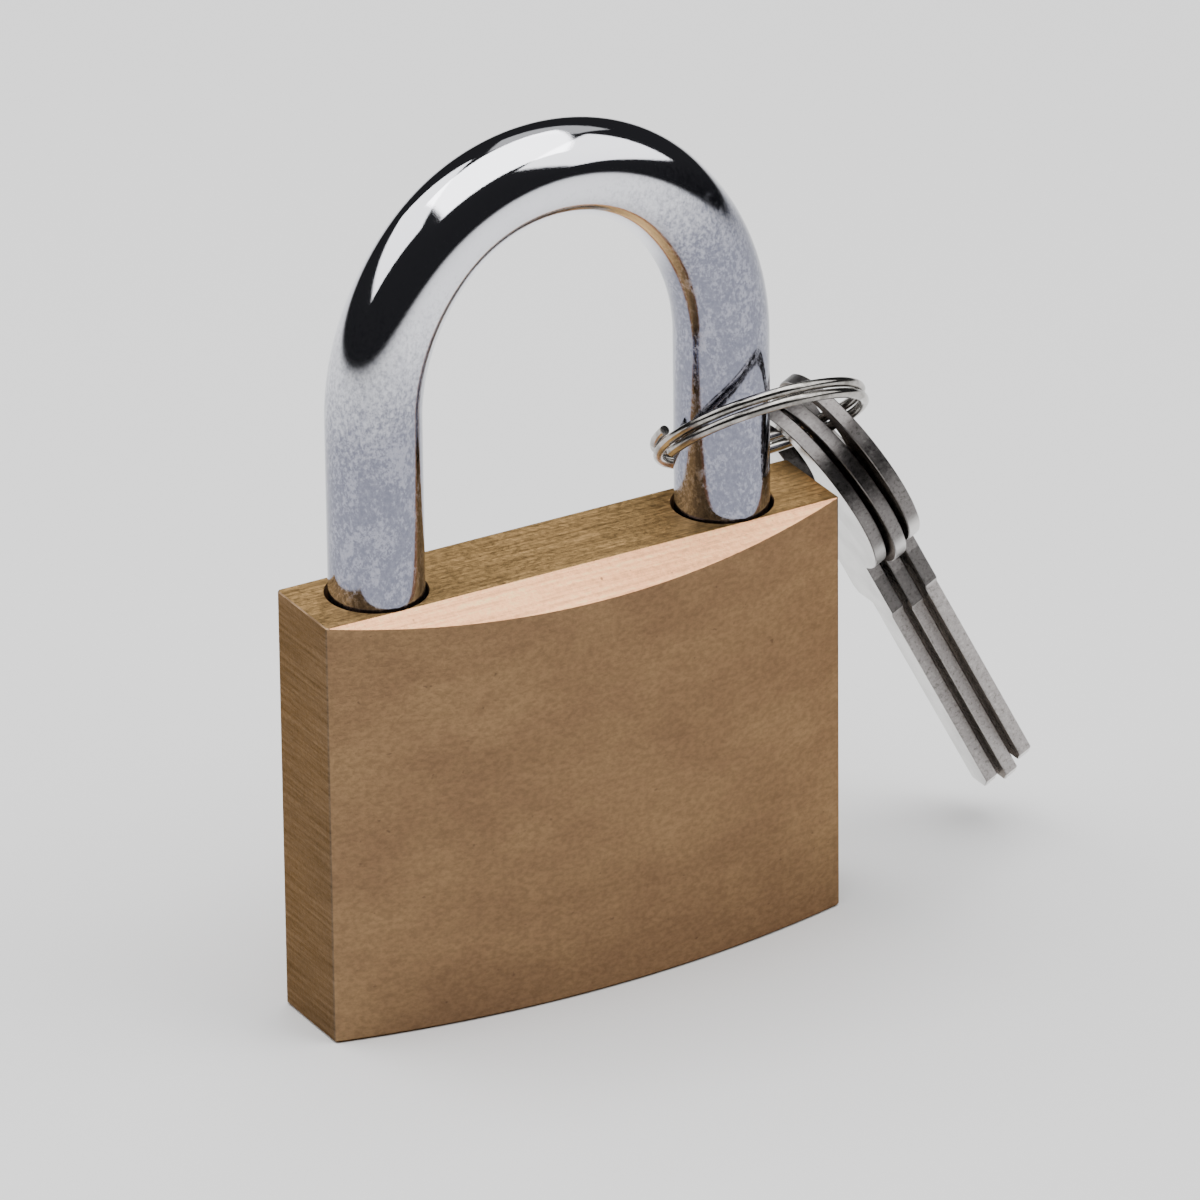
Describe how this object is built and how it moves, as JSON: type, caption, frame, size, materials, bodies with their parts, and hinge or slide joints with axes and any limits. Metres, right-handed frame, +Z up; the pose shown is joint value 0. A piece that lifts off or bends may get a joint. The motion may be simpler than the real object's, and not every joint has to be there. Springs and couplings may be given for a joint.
{
  "type": "padlock",
  "caption": "Brass padlock: rectangular body with bowed faces, round chromed shackle on a sprung heel, pin tumbler lock in its base, and flat keys on a split ring round one leg.",
  "frame": {"origin": "middle of the underside, on the plug's axis, level with the body's base", "axes": "+X along the width towards the toe leg and the keys, -Y is the front face, +Z up along the shackle's legs"},
  "size_m": [0.0867, 0.0265, 0.0939],
  "materials": {
    "brass_body": "satin brushed, worn",
    "brass_plugs": "turned ends",
    "brass_plug": "turned face",
    "chromed_steel": "polished plating, a little cloudy",
    "nickelled_wire": "bright nickel plate",
    "nickelled_key": "nickel plate, sheared edges",
    "bolt_steel": "turned",
    "brass_tailpiece": "turned",
    "pin_steel": "ground",
    "brass_pins": "turned",
    "spring_steel": "drawn wire"
  },
  "bodies": {
    "body": {"body": "brass_body", "bolt_bore_plug": "brass_plugs", "heel_pin": "pin_steel", "plug_retaining_pin": "pin_steel", "chamber_plugs": "brass_plugs", "bolt_spring": "spring_steel", "shackle_spring": "spring_steel", "pin_spring_1": "spring_steel", "pin_spring_2": "spring_steel", "pin_spring_3": "spring_steel", "pin_spring_4": "spring_steel", "pin_spring_5": "spring_steel"},
    "shackle": {"shackle": "chromed_steel"},
    "locking_bolt": {"locking_bolt": "bolt_steel"},
    "plug": {"plug": "brass_plug", "tailpiece": "brass_tailpiece"},
    "split_ring": {"split_ring": "nickelled_wire"},
    "driver_pin_1": {"driver_pin_1": "brass_pins"},
    "key_pin_1": {"key_pin_1": "brass_pins"},
    "driver_pin_2": {"driver_pin_2": "brass_pins"},
    "key_pin_2": {"key_pin_2": "brass_pins"},
    "driver_pin_3": {"driver_pin_3": "brass_pins"},
    "key_pin_3": {"key_pin_3": "brass_pins"},
    "driver_pin_4": {"driver_pin_4": "brass_pins"},
    "key_pin_4": {"key_pin_4": "brass_pins"},
    "driver_pin_5": {"driver_pin_5": "brass_pins"},
    "key_pin_5": {"key_pin_5": "brass_pins"},
    "key_1": {"key_1": "nickelled_key"},
    "key_2": {"key_2": "nickelled_key"},
    "key_3": {"key_3": "nickelled_key"}
  },
  "joints": [
    {"name": "shackle_lift", "type": "slide", "parent": "body", "child": "shackle", "axis": [0, 0, 1], "range_m": [0, 0.012], "deforming": ["shackle_spring"]},
    {"name": "plug_turn", "type": "hinge", "parent": "body", "child": "plug", "pos_m": [0, 0, 0], "axis": [0, 0, 1], "range_deg": [0, 90]},
    {"name": "bolt_draw", "type": "slide", "parent": "body", "child": "locking_bolt", "axis": [-1, 0, 0], "range_m": [0, 0.00481], "deforming": ["bolt_spring"]},
    {"name": "ring_swing", "type": "hinge", "parent": "shackle", "child": "split_ring", "pos_m": [0.01915, 0, 0.05486], "axis": [1, 0, 0], "range_deg": [0, 35]},
    {"name": "driver_pin_1_slide", "type": "slide", "parent": "body", "child": "driver_pin_1", "axis": [1, 0, 0], "range_m": [-0.0012, 0], "deforming": ["pin_spring_1"]},
    {"name": "key_pin_1_slide", "type": "slide", "parent": "plug", "child": "key_pin_1", "axis": [1, 0, 0], "range_m": [-0.0012, 0]},
    {"name": "driver_pin_2_slide", "type": "slide", "parent": "body", "child": "driver_pin_2", "axis": [1, 0, 0], "range_m": [-0.0004, 0], "deforming": ["pin_spring_2"]},
    {"name": "key_pin_2_slide", "type": "slide", "parent": "plug", "child": "key_pin_2", "axis": [1, 0, 0], "range_m": [-0.0004, 0]},
    {"name": "driver_pin_3_slide", "type": "slide", "parent": "body", "child": "driver_pin_3", "axis": [1, 0, 0], "range_m": [-0.0009, 0], "deforming": ["pin_spring_3"]},
    {"name": "key_pin_3_slide", "type": "slide", "parent": "plug", "child": "key_pin_3", "axis": [1, 0, 0], "range_m": [-0.0009, 0]},
    {"name": "driver_pin_4_slide", "type": "slide", "parent": "body", "child": "driver_pin_4", "axis": [1, 0, 0], "range_m": [-0.0002, 0], "deforming": ["pin_spring_4"]},
    {"name": "key_pin_4_slide", "type": "slide", "parent": "plug", "child": "key_pin_4", "axis": [1, 0, 0], "range_m": [-0.0002, 0]},
    {"name": "driver_pin_5_slide", "type": "slide", "parent": "body", "child": "driver_pin_5", "axis": [1, 0, 0], "range_m": [-0.0014, 0], "deforming": ["pin_spring_5"]},
    {"name": "key_pin_5_slide", "type": "slide", "parent": "plug", "child": "key_pin_5", "axis": [1, 0, 0], "range_m": [-0.0014, 0]},
    {"name": "key_1_swing", "type": "hinge", "parent": "split_ring", "child": "key_1", "pos_m": [0.03158, 0.00615, 0.04738], "axis": [0.8871, 0, 0.4616], "range_deg": [-60, 60]},
    {"name": "key_2_swing", "type": "hinge", "parent": "split_ring", "child": "key_2", "pos_m": [0.03299, 0.00447, 0.04856], "axis": [0.8871, 0, 0.4616], "range_deg": [-60, 60]},
    {"name": "key_3_swing", "type": "hinge", "parent": "split_ring", "child": "key_3", "pos_m": [0.03342, 0.00246, 0.05165], "axis": [0.8871, 0, 0.4616], "range_deg": [-60, 60]}
  ],
  "couplings": [
    {"joint": "plug_turn", "follows": "shackle_lift", "rad_per_m": 130.9},
    {"joint": "bolt_draw", "follows": "shackle_lift", "ratio": 0.40069},
    {"joint": "key_pin_1_slide", "follows": "driver_pin_1_slide", "ratio": 1},
    {"joint": "key_pin_2_slide", "follows": "driver_pin_2_slide", "ratio": 1},
    {"joint": "key_pin_3_slide", "follows": "driver_pin_3_slide", "ratio": 1},
    {"joint": "key_pin_4_slide", "follows": "driver_pin_4_slide", "ratio": 1},
    {"joint": "key_pin_5_slide", "follows": "driver_pin_5_slide", "ratio": 1}
  ]
}
